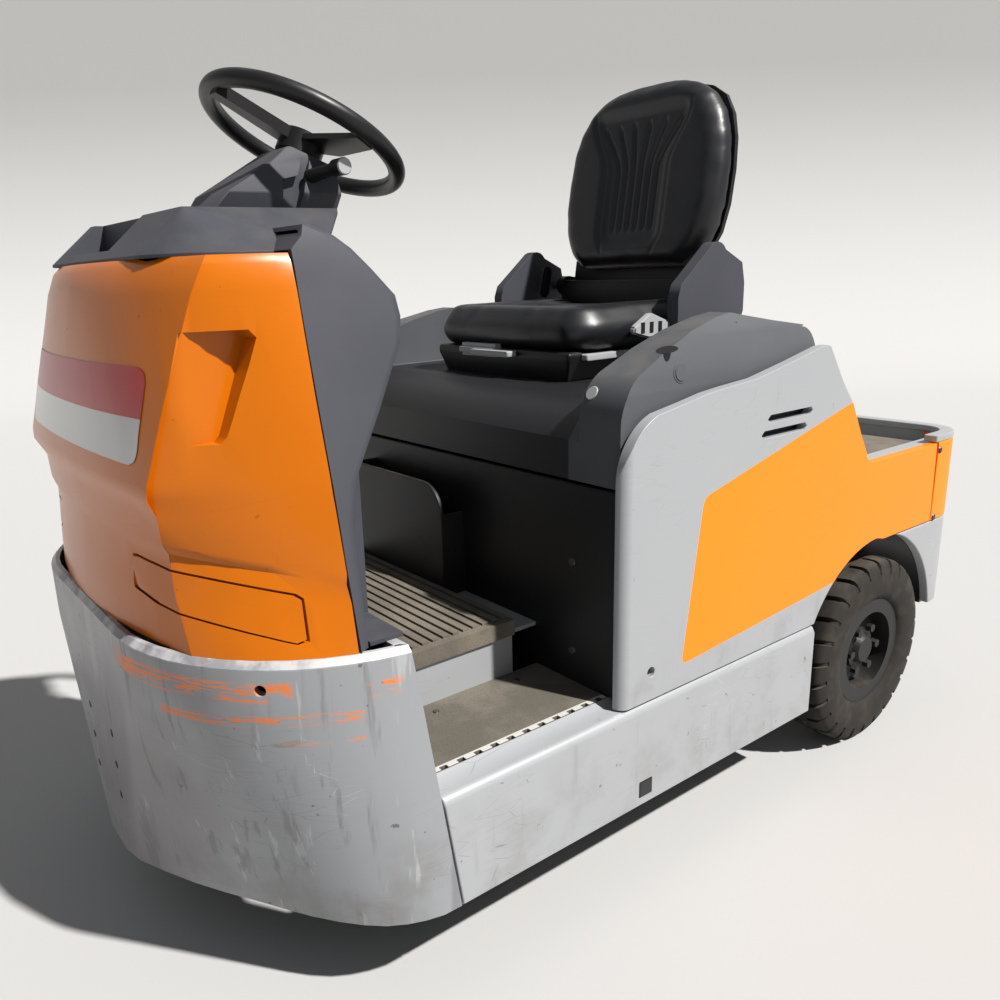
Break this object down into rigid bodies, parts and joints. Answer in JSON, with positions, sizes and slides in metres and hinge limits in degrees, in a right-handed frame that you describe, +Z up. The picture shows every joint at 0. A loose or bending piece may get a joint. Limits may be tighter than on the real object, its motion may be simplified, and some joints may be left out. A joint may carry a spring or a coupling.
{
  "type": "electric tow tractor",
  "caption": "Compact three-wheel electric tow tractor with a driver's seat, step-through footwell, steering wheel, wrap-round front bumper, rear deck and tow coupling.",
  "frame": {"origin": "on the ground, below the middle of the vehicle's length and width", "axes": "+X forward, +Y to the driver's left, +Z up"},
  "size_m": [1.84, 1.01, 1.4216],
  "materials": {
    "frame_steel": "satin black chassis paint",
    "silver_paint": "silver-grey paint, scratched",
    "orange_paint": "orange paint",
    "orange_cowl": "glossy orange moulding",
    "grey_plastic": "grained dark grey moulding",
    "black_plastic": "black moulding",
    "step_grit": "gritted step coating, dusty",
    "mat_rubber": "ribbed floor mat, dusty",
    "seat_vinyl": "black vinyl",
    "lever_plastic": "light grey moulding",
    "battery": "plain battery case",
    "cast_black": "black castings",
    "pin_steel": "bare steel",
    "rim_paint": "dark grey rims, dusty",
    "tyre": "dusty solid tyre"
  },
  "bodies": {
    "chassis": {"chassis_frame": "frame_steel", "front_bumper": "silver_paint", "sill_left": "silver_paint", "sill_right": "silver_paint", "step_left": "step_grit", "step_right": "step_grit", "floor_platform": "silver_paint", "floor_mat": "mat_rubber", "front_cowl": "orange_cowl", "console_shell": "grey_plastic", "column_housing": "grey_plastic", "stalks": "black_plastic", "pedals": "black_plastic", "side_panel_left": "orange_paint", "side_panel_right": "orange_paint", "seat_box_front": "grey_plastic", "storage_pocket": "grey_plastic", "battery_block": "battery", "rear_bulkhead": "silver_paint", "rear_deck": "silver_paint", "deck_mat": "mat_rubber", "rear_rail": "silver_paint", "rear_panel": "silver_paint", "rear_corner_posts": "orange_paint", "rear_skirt": "silver_paint", "mudguards": "black_plastic", "tow_coupling": "cast_black", "rear_axle": "frame_steel"},
    "hood": {"battery_hood": "grey_plastic", "seat_base": "black_plastic", "seat_cushion": "seat_vinyl", "seat_hinge_covers": "grey_plastic", "seat_levers": "lever_plastic"},
    "backrest": {"seat_back_shell": "black_plastic", "seat_backrest": "seat_vinyl"},
    "steering": {"steering_wheel": "black_plastic", "steering_shaft": "frame_steel"},
    "fork": {"front_fork": "frame_steel"},
    "front_wheel": {"front_rim": "rim_paint", "front_tyre": "tyre"},
    "rear_wheel_left": {"rear_rim_left": "rim_paint", "rear_tyre_left": "tyre"},
    "rear_wheel_right": {"rear_rim_right": "rim_paint", "rear_tyre_right": "tyre"},
    "tow_pin": {"coupling_pin": "pin_steel"}
  },
  "joints": [
    {"name": "hood_lift", "type": "hinge", "parent": "chassis", "child": "hood", "pos_m": [-0.332, 0, 0.884], "axis": [0, -1, 0], "range_deg": [0, 50]},
    {"name": "backrest_recline", "type": "hinge", "parent": "hood", "child": "backrest", "pos_m": [-0.322, 0, 1], "axis": [0, -1, 0], "range_deg": [-8, 20]},
    {"name": "steer", "type": "hinge", "parent": "chassis", "child": "fork", "pos_m": [0.68, 0, 0.19], "axis": [0, 0, 1], "range_deg": [-75, 75]},
    {"name": "steering_wheel_turn", "type": "hinge", "parent": "chassis", "child": "steering", "pos_m": [0.471, 0, 1.262], "axis": [-0.454, 0, 0.891], "range_deg": [-600, 600]},
    {"name": "front_wheel_spin", "type": "hinge", "parent": "fork", "child": "front_wheel", "pos_m": [0.68, 0, 0.19], "axis": [0, 1, 0], "continuous": true},
    {"name": "rear_left_spin", "type": "hinge", "parent": "chassis", "child": "rear_wheel_left", "pos_m": [-0.558, 0.45, 0.207], "axis": [0, 1, 0], "continuous": true},
    {"name": "rear_right_spin", "type": "hinge", "parent": "chassis", "child": "rear_wheel_right", "pos_m": [-0.558, -0.45, 0.207], "axis": [0, 1, 0], "continuous": true},
    {"name": "tow_pin_lift", "type": "slide", "parent": "chassis", "child": "tow_pin", "axis": [0, 0, 1], "range_m": [0, 0.13]}
  ],
  "couplings": [
    {"joint": "steering_wheel_turn", "follows": "steer", "ratio": 8}
  ]
}
